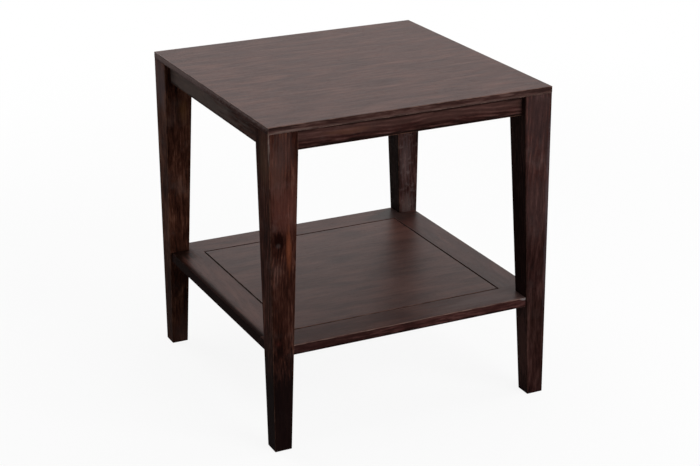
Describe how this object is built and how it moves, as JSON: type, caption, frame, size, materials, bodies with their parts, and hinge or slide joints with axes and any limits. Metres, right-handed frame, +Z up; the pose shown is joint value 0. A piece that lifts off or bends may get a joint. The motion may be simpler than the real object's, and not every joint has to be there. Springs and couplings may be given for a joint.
{
  "type": "end table with shelf",
  "caption": "Square end table in dark stained wood: thin flat top on tapered legs with aprons, and a framed shelf notched round the legs at a third of the height.",
  "frame": {"origin": "on the floor, under the middle of the table", "axes": "+X right along the front edge, +Y to the back, +Z up"},
  "size_m": [0.56, 0.56, 0.61],
  "materials": {
    "stained_wood": "satin, dark brown stain",
    "block_wood": "plain, unstained",
    "dowel_wood": "plain, fluted hardwood",
    "screw_steel": "zinc plated"
  },
  "bodies": {
    "root": {"apron_back": "stained_wood", "apron_front": "stained_wood", "apron_left": "stained_wood", "apron_right": "stained_wood", "corner_block_back_left": "block_wood", "corner_block_back_right": "block_wood", "corner_block_front_left": "block_wood", "corner_block_front_right": "block_wood", "leg_back_left": "stained_wood", "leg_back_right": "stained_wood", "leg_front_left": "stained_wood", "leg_front_right": "stained_wood", "leg_screw_back_left": "screw_steel", "leg_screw_back_right": "screw_steel", "leg_screw_front_left": "screw_steel", "leg_screw_front_right": "screw_steel", "shelf_dowel_back_left_1": "dowel_wood", "shelf_dowel_back_left_2": "dowel_wood", "shelf_dowel_back_right_1": "dowel_wood", "shelf_dowel_back_right_2": "dowel_wood", "shelf_dowel_front_left_1": "dowel_wood", "shelf_dowel_front_left_2": "dowel_wood", "shelf_dowel_front_right_1": "dowel_wood", "shelf_dowel_front_right_2": "dowel_wood", "shelf_panel_plank_1": "stained_wood", "shelf_panel_plank_2": "stained_wood", "shelf_panel_plank_3": "stained_wood", "shelf_panel_plank_4": "stained_wood", "shelf_rail_back": "stained_wood", "shelf_rail_front": "stained_wood", "shelf_stile_left": "stained_wood", "shelf_stile_right": "stained_wood", "top_plank_1": "stained_wood", "top_plank_2": "stained_wood", "top_plank_3": "stained_wood", "top_plank_4": "stained_wood", "top_plank_5": "stained_wood", "top_screw_back_left_1": "screw_steel", "top_screw_back_left_2": "screw_steel", "top_screw_back_right_1": "screw_steel", "top_screw_back_right_2": "screw_steel", "top_screw_front_left_1": "screw_steel", "top_screw_front_left_2": "screw_steel", "top_screw_front_right_1": "screw_steel", "top_screw_front_right_2": "screw_steel"}
  },
  "joints": []
}
